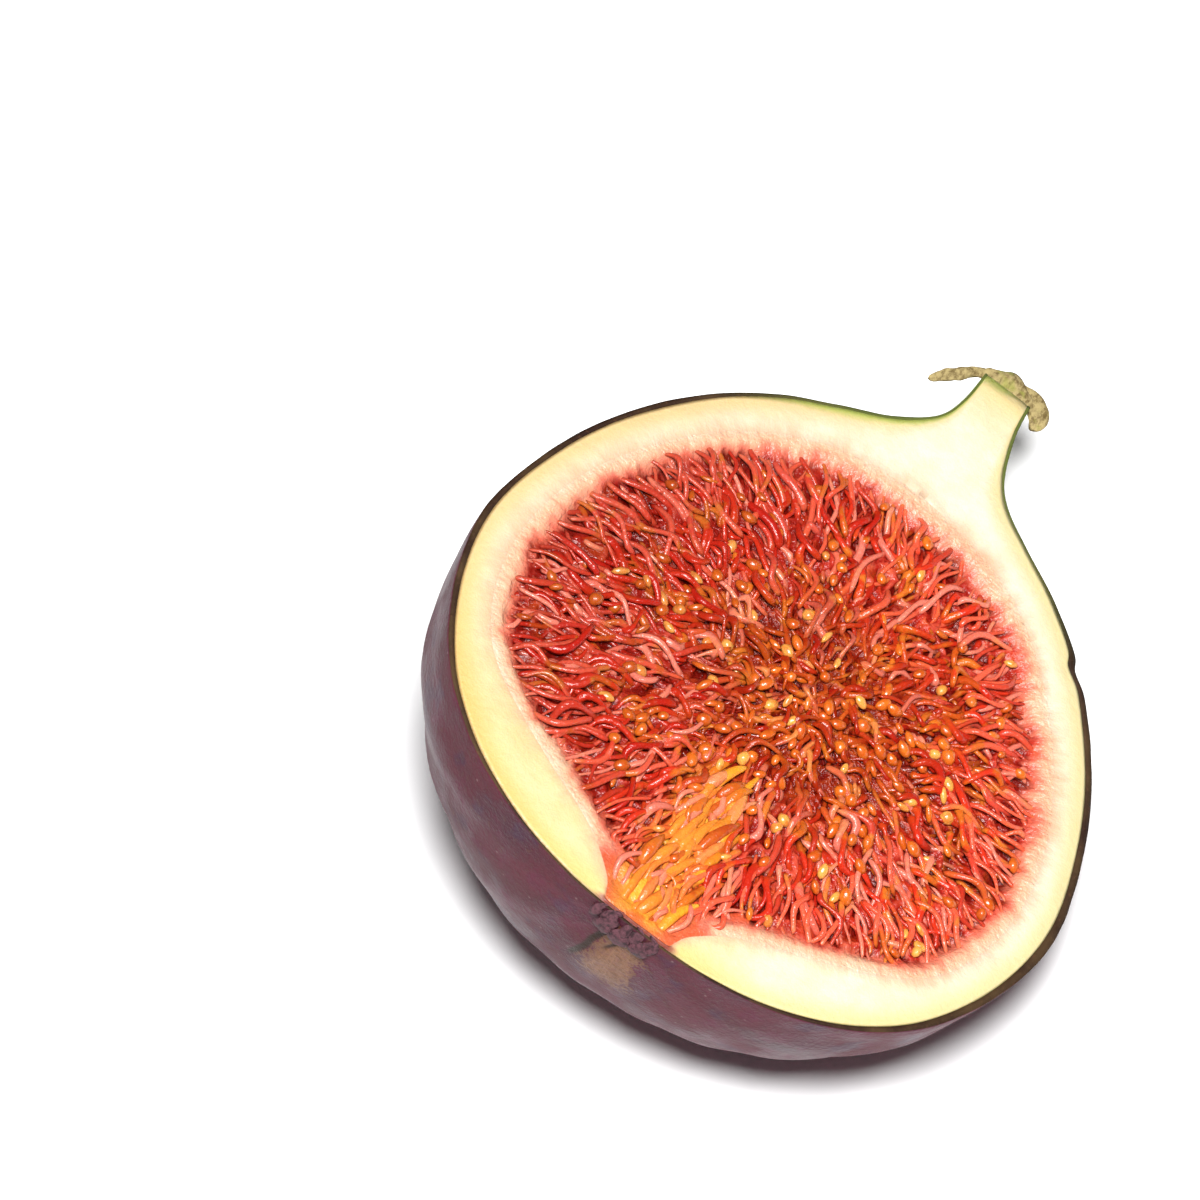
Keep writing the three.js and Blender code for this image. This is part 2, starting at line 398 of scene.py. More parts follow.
def new_finish(name, **constants):
    """A material with one Principled shader, its constant sockets set."""
    material = bpy.data.materials.new(name)
    material.use_nodes = True
    tree = material.node_tree
    for title, value in constants.items():
        tree.nodes["Principled BSDF"].inputs[title.replace("_", " ")].default_value = value
    return material, tree, placed_group(tree, FRUIT_PLACE)


def painted(material, colour, relief, depth, roughness=None):
    """Links a material's colour, a relief that only the light sees, of a depth in millimetres, and its
    roughness where that varies."""
    tree = material.node_tree
    sockets = tree.nodes["Principled BSDF"].inputs
    bump = add(tree, "ShaderNodeBump", {"Height": relief, "Distance": depth * MM})
    tree.links.new(colour, sockets["Base Color"])
    tree.links.new(bump[0], sockets["Normal"])
    if roughness is not None:
        tree.links.new(roughness, sockets["Roughness"])
    return material


def attribute(tree, name):
    return add(tree, "ShaderNodeAttribute", attribute_name=name)["Fac"]


# Finishes

def skin_finish():
    material, tree, fruit = new_finish("fig_skin", Specular_IOR_Level=0.1)
    where, height = fruit["Place"], fruit["Height"]
    wide = placed_group(tree, STREAKS, Place=where, Bands=3.2, Drift=0.03, Sharpness=0.16)[0]
    fine = placed_group(tree, STREAKS, Place=where, Bands=16.0, Drift=0.09, Sharpness=0.2)[0]
    streak = times(fine, mapped(height, -22.5, -12))
    cloud = mapped(noisy(where, 0.16, 5), 0.36, 0.66)
    grain = mapped(noisy(where, 2.2, 3, 0.7), 0.35, 0.7)
    dots = placed_group(tree, FRECKLES, Place=where, Spacing=1.2, Dot=0.15, Share=0.3)[0]
    plum = mixed(wide, (0.051, 0.0095, 0.019), (0.088, 0.019, 0.035))
    dried = mixed(cloud, (0.022, 0.01, 0.007), (0.06, 0.034, 0.015))
    dried = mixed(mapped(height, 18, 30), dried, (0.09, 0.11, 0.025))
    tan = mixed(grain, (0.29, 0.15, 0.08), (0.14, 0.058, 0.03))
    tan = mixed(times(fine, 0.5), tan, (0.087, 0.035, 0.022))
    worn = plus(attribute(tree, "scar"), times(minus(grain, 0.5), 0.9))
    colour = layered(
        plum,
        (times(streak, 0.3), (0.127, 0.032, 0.055)),
        (times(cloud, 0.45), (0.134, 0.028, 0.036)),
        (mapped(noisy(where, 0.42, 3), 0.52, 0.68, 0, 0.6), (0.107, 0.015, 0.039)),
        (mapped(noisy(where, 0.3, 3), 0.46, 0.34, 0, 0.5), (0.043, 0.019, 0.046)),
        (times(grain, 0.3), (0.031, 0.006, 0.014)),
        (times(dots, 0.5), (0.27, 0.17, 0.17)),
        (mapped(plus(height, times(fine, 3)), 24, 32), (0.204, 0.255, 0.051)),  # the green neck
        (mapped(attribute(tree, "rim"), 0.8, 1.0), dried),
        (mapped(worn, 0.2, 0.9), tan),
        # Painted shade: the fissures are coloured nearly black, as the shade in a crack.
        (mapped(attribute(tree, "fissure"), 0.3, 0.9), (0.03, 0.015, 0.01)),
    )
    relief = plus(times(grain, 0.7), streak)
    return painted(material, colour, relief, 0.05, roughness=mapped(cloud, 0, 1, 0.42, 0.6))


def rays_group():
    """Fine fibres in the cut that run to the heart, from 0 to 1."""
    tree, given, out = group_with("Rays", "ShaderNodeTree", {"Place": "Vector"}, {"Fibre": "Float"})
    flat = vector_maths("MULTIPLY", vector_maths("SUBTRACT", given["Place"], HEART), (1, 1, 0))
    far = scaled(vector_maths("NORMALIZE", flat), 24)
    along = add(tree, "ShaderNodeCombineXYZ", {2: times(vector_maths("LENGTH", flat), 0.4)})
    where = vector_maths("ADD", far, along[0])
    tree.links.new(noisy(where, 1.0, 3), out["Fibre"])
    return tree


RAYS = rays_group()


def border_group():
    """The colour of the cut where the wall meets the pulp: the distance is positive in the wall."""
    tree, given, out = group_with("Border", "ShaderNodeTree", {
        "Place": "Vector", "Distance": "Float", "Cream": "Color",
    }, {"Colour": "Color", "Pulp": "Float"})
    where = given["Place"]
    fibre = placed_group(tree, RAYS, Place=where)[0]
    patch = times(minus(noisy(where, 0.22, 2), 0.5), 2.6)
    stray = times(minus(fibre, 0.5), 1.9)
    depth = plus(plus(given["Distance"], patch), stray)
    colour = mixed(mapped(depth, 1.9, -0.7), given["Cream"], (0.62, 0.33, 0.2))
    colour = mixed(mapped(depth, -0.2, -1.4), colour, (0.58, 0.13, 0.08))
    tree.links.new(colour, out["Colour"])
    tree.links.new(mapped(depth, -1.0, -2.0), out["Pulp"])
    return tree


BORDER = border_group()


def wall_finish():
    material, tree, fruit = new_finish(
        "fig_wall", Specular_IOR_Level=0.3, Subsurface_Weight=0.3, Subsurface_Scale=0.002,
        Subsurface_Radius=(1.0, 0.7, 0.35), Coat_Weight=0.05, Coat_Roughness=0.25,
    )
    where, height, across = fruit["Place"], fruit["Height"], fruit["Across"]
    to_skin, to_florets = attribute(tree, "to_skin"), attribute(tree, "to_florets")
    uneven = noisy(where, 0.35, 4)
    fibre = noisy(where, 1.6, 3, 0.65)
    lower = times(mapped(height, -3, -17), mapped(across, 11, 4, 0.2, 1))
    cream = layered(
        mixed(mapped(uneven, 0.35, 0.65), (0.6, 0.54, 0.39), (0.63, 0.59, 0.46)),
        (mapped(to_skin, 2.4, 0.2), (0.6, 0.49, 0.25)),
        (mapped(height, 29, 35, 0, 0.7), (0.6, 0.46, 0.2)),
        (mapped(across, 2, -21, 0, 0.9), (1.0, 0.84, 0.76), "MULTIPLY"),
        (lower, (1.0, 0.9, 0.64), "MULTIPLY"),
    )
    border = placed_group(tree, BORDER, Place=where, Distance=to_florets, Cream=cream)
    neck = mapped(height, 19, 25)
    right = mapped(across, 0.5, 2.5)
    edge = mixed(neck, (0.17, 0.1, 0.03), (0.27, 0.34, 0.035))
    edge = mixed(right, edge, (0.14, 0.13, 0.03))
    spread = times(uneven, mapped(right, 0, 1, 1.1, 0.3))
    reach = plus(mapped(right, 0, 1, 0.22, 0.12), times(neck, spread))
    outer = mapped(maths("DIVIDE", to_skin, reach), 1.2, 0.0)
    throat = mapped(maths("ABSOLUTE", across), 4.2, 2.8)
    throat = times(throat, mapped(height, -22.5, -22.85))
    colour = layered(border["Colour"], (times(outer, 0.85), edge), (throat, (0.2, 0.045, 0.03)))
    rays = times(placed_group(tree, RAYS, Place=where)[0], mapped(to_florets, 2.2, 0.0))
    relief = plus(times(fibre, 0.5), rays)
    return painted(material, colour, relief, 0.2, roughness=mapped(fibre, 0.3, 0.7, 0.38, 0.55))


def glow_group():
    """The orange flesh between the eye and the heart, as a mask."""
    tree, given, out = group_with("EyeGlow", "ShaderNodeTree", {"Place": "Vector"}, {"Mask": "Float"})
    parts = split(given["Place"])
    stray = times(minus(noisy(given["Place"], 0.35, 3), 0.5), 4)
    across = mapped(maths("ABSOLUTE", plus(plus(parts["X"], 0.5), stray)), 3.9, 0.6)
    along = mapped(plus(parts["Y"], stray), -6.5, -10)
    inside = mapped(parts["Y"], -23.6, -21.5)
    tree.links.new(times(across, times(along, inside)), out["Mask"])
    return tree


GLOW = glow_group()


def depth_shade(fruit):
    """The layer of painted shade that darkens the pulp with its depth below the cut, between the florets."""
    return mapped(fruit["Depth"], -0.3, -1.05, 0, 0.9), (0.13, 0.003, 0.001)


def left_shade(fruit):
    """The layer of painted shade that darkens the pulp towards the left of the cut."""
    return mapped(fruit["Across"], 4, -19, 0, 0.7), (0.5, 0.4, 0.5), "MULTIPLY"


def bed_finish():
    material, tree, fruit = new_finish(
        "floret_bed", Specular_IOR_Level=0.4, Subsurface_Weight=0.2, Subsurface_Scale=0.0009,
        Subsurface_Radius=(1.0, 0.2, 0.1), Roughness=0.33,
    )
    where = fruit["Place"]
    cloud = noisy(where, 0.5, 4)
    rough = times(minus(noisy(where, 2.4, 3), 0.5), 0.7)
    ridge = plus(attribute(tree, "ridge"), rough)
    close = mapped(fruit["From Heart"], 12, 4)
    # Partly the pulp's own darker red, partly painted shade in the valleys and painted light on the ridge
    # tops.
    low = mixed(close, (0.13, 0.002, 0.001), (0.1, 0.004, 0.001))
    body = mixed(close, (0.38, 0.014, 0.006), (0.27, 0.025, 0.002))
    top = mixed(close, (0.54, 0.075, 0.04), (0.4, 0.09, 0.012))
    glow = placed_group(tree, GLOW, Place=where)[0]
    # Painted light: the orange is lighter where the ridges rise.
    lit = mapped(plus(ridge, cloud), 0.4, 1.5)
    orange = mixed(lit, (0.6, 0.14, 0.012), (0.78, 0.38, 0.03))
    colour = layered(
        low,
        (mapped(ridge, 0.1, 0.65), body),
        (mapped(ridge, 0.65, 1.1), top),
        (mapped(cloud, 0.5, 0.7, 0, 0.6), (0.55, 0.08, 0.006)),
        (mapped(fruit["Height"], -15, -19, 0, 0.7), (0.62, 0.13, 0.05)),
        (times(glow, 0.85), orange),
        left_shade(fruit),
        depth_shade(fruit),
    )
    at_eye = mapped(fruit["Height"], -18.5, -21.0, 0, -2.6)
    border = placed_group(tree, BORDER, Place=where, Distance=minus(at_eye, attribute(tree, "to_wall")),
                          Cream=(0.62, 0.56, 0.42, 1))
    colour = mixed(border["Pulp"], border["Colour"], colour)
    fibre = placed_group(tree, RAYS, Place=where)[0]
    return painted(material, colour, plus(noisy(where, 2.2, 3), fibre), 0.22)


def floret_finish(name, root, middle, tip, heart_root, heart_tip):
    """Flesh of a floret: colours at its root, middle and tip near the wall, and near the heart."""
    material, tree, fruit = new_finish(
        name, Specular_IOR_Level=0.28, Subsurface_Weight=0.2, Subsurface_Scale=0.0009,
        Subsurface_Radius=(0.72, 0.123, 0.05), Coat_Weight=0.12, Coat_Roughness=0.12, Roughness=0.28,
    )
    where = fruit["Place"]
    along, tint = attribute(tree, "along"), attribute(tree, "tint")
    far = mixed(mapped(along, 0.0, 0.3), root, middle)
    far = mixed(mapped(along, 0.65, 0.95), far, tip)
    close = mixed(mapped(along, 0.3, 0.9), heart_root, heart_tip)
    drift = times(noisy(where, 0.18, 2), 9)
    reach = plus(fruit["From Heart"], minus(4.5, drift))
    golden = mapped(noisy(where, 0.34, 3), 0.52, 0.61, 0, 0.75)
    glow = placed_group(tree, GLOW, Place=where)[0]
    pale = times(mapped(tint, 0.72, 0.92, 0, 0.72), mapped(reach, 4, 11, 0.3, 1))
    colour = layered(
        far,
        (mapped(reach, 14.5, 5.5), close),
        (golden, mixed(tint, (0.38, 0.05, 0.004), (0.6, 0.2, 0.02))),
        left_shade(fruit),
        (times(glow, 0.85), mixed(tint, (0.67, 0.22, 0.025), (0.6, 0.12, 0.02))),
        (pale, (0.62, 0.18, 0.125)),
        (mapped(tint, 0.35, 0.0, 0, 0.7), (0.302, 0.005, 0.003)),
        depth_shade(fruit),
    )
    return painted(material, colour, noisy(where, 2.6, 2), 0.12)


def seed_finish():
    material, tree, fruit = new_finish(
        "fig_seeds", Specular_IOR_Level=0.6, Subsurface_Weight=0.3, Subsurface_Scale=0.0006,
        Subsurface_Radius=(0.858, 0.263, 0.043), Coat_Weight=0.15, Coat_Roughness=0.1, Roughness=0.3,
    )
    where, tint = fruit["Place"], attribute(tree, "tint")
    colour = layered(
        mixed(tint, (0.6, 0.135, 0.011), (0.4, 0.05, 0.003)),
        (mapped(tint, 0.7, 0.9, 0, 0.8), (0.8, 0.36, 0.07)),
        (mapped(noisy(where, 1.6, 2), 0.45, 0.7, 0, 0.5), (0.36, 0.045, 0.003)),
        left_shade(fruit),
        depth_shade(fruit),
    )
    return painted(material, colour, noisy(where, 5.0, 1), 0.04)


def dry_finish(name, light, dark, green=None):
    """Dry scales and fibres: two browns in fine lengthwise fibres."""
    material, tree, fruit = new_finish(name, Specular_IOR_Level=0.3)
    where = fruit["Place"]
    stretched = add(tree, "ShaderNodeMapping", {"Vector": where, "Scale": (1.6, 1.0, 1.6)})
    fibre = noisy(stretched[0], 1.5, 5, 0.7)
    colour = mixed(mapped(fibre, 0.34, 0.62), dark, light)
    if green:
        patch = mapped(noisy(where, 0.5, 2), 0.5, 0.62)
        colour = mixed(times(patch, 0.7), colour, green)
    return painted(material, colour, fibre, 0.08, roughness=mapped(fibre, 0.3, 0.7, 0.65, 0.9))


def floor_finish():
    material = bpy.data.materials.new("studio_floor")
    material.use_nodes = True
    shader = material.node_tree.nodes["Principled BSDF"]
    shader.inputs["Base Color"].default_value = (0.98, 0.98, 0.985, 1)
    shader.inputs["Roughness"].default_value = 0.55
    shader.inputs["Specular IOR Level"].default_value = 0.2
    return material


# Skin

SKIN_ROWS = 260
SKIN_COLUMNS = 220
SKIN_INNER_COLUMNS = 24
SCAR_BELOW = -20  # the height below which the scar and the fissures lie
RIM_DEPTH = 0.2  # how far down the outside the cut has dried the skin


def scar_marks(x, z):
    """The tan scar that runs down from the eye, and the fissures beside it: masks from 0 to 1."""
    down = -z
    wander = 0.6 * lump(0, 0, down, 2.5, 7.0)
    middle = 0.05 * max(down - 1, 0) + wander
    width = SCAR["half_width"] * (0.7 + 0.05 * down + 0.3 * lump(x, 0, down, 1.3))
    inside = 1 - smooth(abs(x - middle - 0.4), width * 0.35, width * 1.2)
    inside *= smooth(down, SCAR["start"] - 1, SCAR["start"] + 1)
    inside *= 1 - smooth(down, SCAR["end"] - 4, SCAR["end"])
    crack = math.exp(-(((x - middle + 1.3 + 0.1 * down) / 0.38) ** 2))
    crack *= smooth(down, 0.8, 2) * (1 - smooth(down, 8, 11))
    short = math.exp(-(((x - middle - 0.5 + 0.25 * down) / 0.3) ** 2))
    short *= smooth(down, 0.8, 2) * (1 - smooth(down, 4, 6))
    return inside, max(crack, 0.8 * short)


def skin_point(radius, height, turn):
    """A point of the outside, and its shares of dried rim, scar and fissure."""
    x, y, z = turned(radius, height, turn)
    wander = lump(x, y, z, 7) * 0.16 + lump(x, y, z, 2.2, 5) * 0.05
    wrinkle = 0.1 * math.sin(31 * turn + 3 * lump(0, y, 0, 6)) * smooth(height, 19, 26)
    uneven = (wander + wrinkle * smooth(radius, 1, 3)) * smooth(radius, 0.5, 5)
    away = rib_height(turn, radius) + uneven - dent(height, turn)
    scar, fissure = scar_marks(x, z) if height < SCAR_BELOW else (0.0, 0.0)
    x, y, z = turned(max(radius + away, 0), height + 0.13 * fissure - 0.12 * scar, turn)
    return x, y, z, max(0.0, 1 + z / RIM_DEPTH), scar, fissure


def make_skin():
    outer = even(skin_line, SKIN_ROWS)
    inner = even(inset(skin_line, SKIN_THICKNESS), SKIN_ROWS)
    turns = np.linspace(0, math.pi, SKIN_COLUMNS + 1)
    inner_turns = np.linspace(math.pi, 0, SKIN_INNER_COLUMNS + 1)
    floors = np.repeat([0.0, SKIN_THICKNESS], [len(turns), len(inner_turns)])
    loops = []
    for (radius, height), (core, core_height) in zip(outer, inner):
        loop = [skin_point(radius, height, turn) for turn in turns]
        for turn in inner_turns:
            core_place = turned(max(core - dent(core_height, turn), 0), core_height, turn)
            loop.append((*core_place, 1.0, 0.0, 0.0))
        loops.append(loop)
    return ringed("fig_skin", loops, ("rim", "scar", "fissure"), close=True, floors=floors)


# Wall

WALL_ROWS = 260
WALL_STEPS = 12
WALL_COLUMNS = 24
WALL_LEAST = 0.35  # how thin it gets
WALL_OVERLAP = 0.02  # how far it reaches into the skin
FAR = 9.0  # stands for any distance that is too large to matter


def cut_level(share, x, y):
    """Relief of the cut across the wall: share is 0 at the skin and 1 at the florets."""
    swell = 0.16 * math.sin(math.pi * share) ** 2 + 0.1 * lump(x, y, 0, 3.5)
    return swell * smooth(share, 0, 0.25)


def make_wall():
    line = inset(skin_line, SKIN_THICKNESS - WALL_OVERLAP)
    line = np.concatenate([[[0, line[0, 1]]], line, [[0, line[-1, 1]]]])
    outer = even(line, WALL_ROWS)[::-1]
    angles = np.arctan2(outer[:, 0], outer[:, 1])
    reach = np.hypot(outer[:, 0], outer[:, 1])
    hollow = np.interp(angles, hollow_angles, hollow_radii)
    turns = np.linspace(0, math.pi, WALL_COLUMNS + 1)
    loops = []
    for (radius, height), angle, far, near in zip(outer, angles, reach, hollow):
        edge = min(near, far - WALL_LEAST)
        loop = [(*turned(radius - dent(height, turn), height, turn), FAR, 0.0) for turn in turns]
        for side in (-1, 1):
            line = []
            for share in np.linspace(0, 1, WALL_STEPS + 1):
                along = far + (edge - far) * share
                pull = dent(height, 0) * (1 - share) if side > 0 else 0
                x, y, _ = turned(along * math.sin(angle) - pull, along * math.cos(angle), 0)
                x = x if side > 0 else 2 * STALK_SHIFT * smooth(y, *STALK_BEND) - x
                line.append((x, y, cut_level(share, x, y), along - edge, far - along))
            loop += line[::-side]
            if side < 0:
                core, core_height = edge * math.sin(angle), edge * math.cos(angle)
                loop += [(*turned(core, core_height, turn), 0.0, FAR) for turn in turns[-2:0:-1]]
        loops.append(loop)
    return ringed("fig_wall", loops, ("to_florets", "to_skin"), floors=SKIN_THICKNESS)


# Bed of the florets

BED_ROWS = 300
BED_STEPS = 84
BED_COLUMNS = 12
BED_THICKNESS = 1.6  # how far its underside lies below the cut, or more
BED_SINK = 1.15  # how far below the cut its valleys lie
BED_OVERLAP = 0.9  # how far it reaches over the wall
EYE_EDGE = -23.1  # how near the eye the bed comes
RAY_RING = 9.5  # the wider this ring in the noise, the more ridges run to the heart


def fold(x, y, z, seed):
    """1 on the winding lines where the noise changes sign, 0 away from them."""
    return 1 - min(1.0, abs(lump(x, y, z, 1.0, seed)) / 0.3)


def pulp_ridge(x, y):
    """Winding ridges of the pulp, which run to the heart: 0 in the valleys and 1 on the ridges."""
    reach = math.hypot(x - HEART.x, y - HEART.y)
    turn = math.atan2(y - HEART.y, x - HEART.x) + 0.09 * lump(x, y, 0, 1.8, 11.0)
    x_round, y_round = RAY_RING * math.cos(turn), RAY_RING * math.sin(turn)
    rays = fold(x_round, y_round, reach / 3.2, 1.0)
    rays = max(rays, 0.85 * fold(x_round, y_round, reach / 2.4, 31.0))
    cells = fold(x / 1.3, y / 1.3, 0, 51.0)
    close = 1 - smooth(reach, 3, 9)
    return rays * (1 - close) + cells * close


def bed_level(to_wall, x, y, ridge):
    """Height of the bed, which meets the cut of the wall."""
    sink = BED_SINK - 0.5 * (1 - smooth(y, -21, -16))
    swell = 0.7 * ridge + 0.3 * lump(x, y, 0, 2.2, 2.0)
    open_eye = 1 - smooth(y, -22, -18.5)
    rim = 1 - smooth(to_wall, 0.4 - 0.3 * open_eye, 1.9 - 1.2 * open_eye)
    level = 0.1 * lump(x, y, 0, 3.5) + 0.012 - 0.03 * smooth(-to_wall, 0.3, BED_OVERLAP)
    return min(swell - sink, -0.1) * (1 - rim) + level * rim


def make_bed():
    angles = np.linspace(0, math.pi, BED_ROWS + 1)
    radii = np.interp(angles, hollow_angles, hollow_radii) + BED_OVERLAP
    down = np.cos(angles) < -0.5
    radii[down] = np.minimum(radii[down], EYE_EDGE / np.cos(angles[down]))
    loops = []
    for angle, radius in zip(angles, radii):
        inner = radius - BED_OVERLAP
        loop = []
        for turn in np.linspace(0, math.pi, BED_COLUMNS + 1):
            x, y, z = turned(inner * math.sin(angle), inner * math.cos(angle), turn)
            loop.append((x, y, z - BED_THICKNESS, 0.0, 0.0))
        for side in (-1, 1):
            line = []
            for share in np.linspace(1, 0, BED_STEPS + 1):
                x, y = side * share * radius * math.sin(angle), share * radius * math.cos(angle)
                ridge = pulp_ridge(x, y)
                to_wall = (1 - share) * radius - BED_OVERLAP
                line.append((x, y, bed_level(to_wall, x, y, ridge), to_wall, ridge))
            loop += line[::-side]
        loops.append(loop)
    return ringed("floret_bed", loops, ("to_wall", "ridge"))


# Florets and seeds

def strand_shape(name, rings, sides, girth, waves, lean, turns=5.2, arch=0.0):
    """A tapered wavy finger along +X, one unit long, with the share of its length as an attribute. Its
    middle rises by arch over its ends."""
    points, along = [], []
    for ring in range(rings + 1):
        share = ring / rings
        thick = float(np.interp(share, *zip(*girth)))
        y = waves * (math.sin(turns * share + lean) - math.sin(lean))
        z = 0.6 * waves * (math.sin(0.8 * turns * share + 2 * lean) - math.sin(2 * lean))
        z += arch * math.sin(math.pi * share)
        for side in range(sides):
            turn = 2 * math.pi * side / sides
            points.append((share, y + thick * math.cos(turn), z + 0.8 * thick * math.sin(turn)))
            along.append(share)
    faces = [
        (r * sides + s, r * sides + (s + 1) % sides, (r + 1) * sides + (s + 1) % sides, (r + 1) * sides + s)
        for r in range(rings) for s in range(sides)
    ]
    mesh = bpy.data.meshes.new(name)
    mesh.from_pydata(points, [], faces)
    add_attribute(mesh, "along", along)
    shape = finished(name, mesh, weld=1e-4)
    bpy.context.scene.collection.objects.unlink(shape)
    return shape


def shape_collection(name, shapes):
    group = bpy.data.collections.new(name)
    for shape in shapes:
        group.objects.link(shape)
    return group


GROW_INPUTS = {
    "Ground": "Geometry", "Spacing": "Float", "Share At Heart": "Float", "Share At Wall": "Float",
    "Heart": "Vector", "Reach": "Float", "Length At Heart": "Float", "Length At Wall": "Float",
    "Girth": "Float", "Turn Least": "Vector", "Turn Most": "Vector", "Sink": "Float",
    "Unevenness": "Float", "Seed": "Int", "Shapes": "Collection", "Finish": "Material",
}
CROWDING = 4.0  # candidate places for each place that the spacing leaves room for


def grow_tree():
    """Scatters shapes over a flat ground so that they point at the heart, longer towards the wall."""
    tree, given, out = group_with("GrowOnCut", "GeometryNodeTree", GROW_INPUTS, {"Grown": "Geometry"})
    position = add(tree, "GeometryNodeInputPosition")[0]
    inward = vector_maths("SUBTRACT", given["Heart"], position)
    distance = vector_maths("LENGTH", inward)
    share = add(tree, "ShaderNodeMapRange", {"Value": distance, "From Max": given["Reach"]})["Result"]

    def between(low, high):
        return add(tree, "ShaderNodeMapRange", {"Value": share, "To Min": low, "To Max": high})["Result"]

    def chance(low, high, kind="FLOAT", shift=0):
        seed = plus(given["Seed"], float(shift))
        least, most, drawn = {"FLOAT": (2, 3, 1), "FLOAT_VECTOR": (0, 1, 0), "INT": (4, 5, 2)}[kind]
        return add(tree, "FunctionNodeRandomValue", {least: low, most: high, "Seed": seed},
                   data_type=kind)[drawn]

    spacing = given["Spacing"]
    crowd = maths("DIVIDE", CROWDING, times(spacing, spacing))
    scatter = add(tree, "GeometryNodeDistributePointsOnFaces", {
        "Mesh": given["Ground"],
        "Distance Min": spacing,
        "Density Max": crowd,
        "Density Factor": between(given["Share At Heart"], given["Share At Wall"]),
        "Seed": given["Seed"],
    }, distribute_method="POISSON")
    sink = times(given["Sink"], -1.0)
    depth = plus(sink, chance(0.0, given["Unevenness"], shift=5))
    lowered = add(tree, "GeometryNodeSetPosition", {
        "Geometry": scatter["Points"],
        "Offset": add(tree, "ShaderNodeCombineXYZ", {2: depth})[0],
    })
    facing = add(tree, "FunctionNodeAlignRotationToVector", {"Vector": inward}, axis="X", pivot_axis="Z")
    wobble = add(tree, "FunctionNodeEulerToRotation", {
        0: chance(given["Turn Least"], given["Turn Most"], "FLOAT_VECTOR", shift=1),
    })
    turned_in = add(tree, "FunctionNodeRotateRotation", {
        0: facing[0], 1: wobble[0],
    }, rotation_space="LOCAL")
    length = between(given["Length At Heart"], given["Length At Wall"])
    length = times(length, chance(0.75, 1.25, shift=2))
    girth = times(given["Girth"], chance(0.6, 1.35, shift=3))
    size = add(tree, "ShaderNodeCombineXYZ", {0: length, 1: girth, 2: girth})
    shapes = add(tree, "GeometryNodeCollectionInfo", {
        "Collection": given["Shapes"], "Separate Children": True, "Reset Children": True,
    })
    instances = add(tree, "GeometryNodeInstanceOnPoints", {
        "Points": lowered[0],
        "Instance": shapes[0],
        "Pick Instance": True,
        "Instance Index": chance(0, 40, "INT", shift=4),
        "Rotation": turned_in[0],
        "Scale": size[0],
    })
    tinted = add(tree, "GeometryNodeStoreNamedAttribute", {
        "Geometry": instances[0], "Name": "tint", "Value": chance(0.0, 1.0, shift=6),
    }, data_type="FLOAT", domain="INSTANCE")
    real = add(tree, "GeometryNodeRealizeInstances", {0: tinted[0]})
    dressed = add(tree, "GeometryNodeSetMaterial", {
        "Geometry": real[0], "Material": given["Finish"],
    })
    tree.links.new(dressed[0], out[0])
    return tree


GROW = grow_tree()


def hollow_radius(angle):
    """The hollow's radius at an angle from the stalk, on either side."""
    turn = angle if angle <= math.pi else 2 * math.pi - angle
    return float(np.interp(turn, hollow_angles, hollow_radii))


GROUND_RINGS = 20
GROUND_COLUMNS = 160
NARROW_BELOW = -15  # the height below which the hollow narrows to the eye


def ring_ground(inner, outer, low=-22.6, high=99, side=None):
    """A flat ground on the cut, in millimetres. Its edges lie inner and outer beyond the hollow's edge; an
    inner of 0 fills it to the middle. It ends at the height low, short of the eye, and at the height high.
    Where the hollow narrows to the eye, side is how far it stays off both walls."""
    mesh = bpy.data.meshes.new("ground")
    work = bmesh.new()
    rows = []
    for share in np.linspace(0, 1, GROUND_RINGS + 1):
        row = []
        for column in range(GROUND_COLUMNS):
            angle = 2 * math.pi * column / GROUND_COLUMNS
            edge = hollow_radius(angle)
            start = edge + inner if inner else 0.05
            radius = start + share * (edge + outer - start)
            row.append(work.verts.new((radius * math.sin(angle), radius * math.cos(angle), 0)))
        rows.append(row)
    for column in range(GROUND_COLUMNS):
        after = (column + 1) % GROUND_COLUMNS
        for near, far in zip(rows, rows[1:]):
            work.faces.new((near[column], near[after], far[after], far[column]))
    outside = []
    for face in work.faces:
        x, y, _ = face.calc_center_median()
        half_width = np.interp(y, hollow_line[:, 1], hollow_line[:, 0])
        if not low <= y <= high or (y < NARROW_BELOW and abs(x) > half_width - (side or -outer)):
            outside.append(face)
    bmesh.ops.delete(work, geom=outside, context="FACES")
    work.to_mesh(mesh)
    work.free()
    return new_object("ground", mesh)


def flat_ground(name, left, right, low, high):
    """A flat rectangle: on the cut, in millimetres, or the floor, in metres."""
    mesh = bpy.data.meshes.new(name)
    corners = [(left, low, 0), (right, low, 0), (right, high, 0), (left, high, 0)]
    mesh.from_pydata(corners, [], [(0, 1, 2, 3)])
    return new_object(name, mesh)


def grown(name, ground, lengths, turn, least_turn=None, shares=(1.0, 1.0), **inputs):
    """What GrowOnCut grows on a ground, as a plain mesh in the part's frame. The lengths, and the shares of
    the places that bear a shape, are those at the heart and at the wall. A shape turns by up to turn one
    way, and as far the other way or to least_turn."""
    inputs |= {
        "Heart": HEART, "Length At Heart": lengths[0], "Length At Wall": lengths[1],
        "Share At Heart": shares[0], "Share At Wall": shares[1],
        "Turn Most": turn, "Turn Least": least_turn or tuple(-angle for angle in turn),
    }
    sockets = {
        item.name: item.identifier
        for item in GROW.interface.items_tree
        if item.item_type == "SOCKET" and item.in_out == "INPUT"
    }
    modifier = ground.modifiers.new("grow", "NODES")
    modifier.node_group = GROW
    for title, value in inputs.items():
        modifier[sockets[title]] = value
    depsgraph = bpy.context.evaluated_depsgraph_get()
    mesh = bpy.data.meshes.new_from_object(ground.evaluated_get(depsgraph))
    ground.modifiers.remove(modifier)
    bpy.data.objects.remove(ground)
    mesh.transform(LIE_PLACE)
    mesh.name = name
    mesh.shade_smooth()
    return new_object(name, mesh)


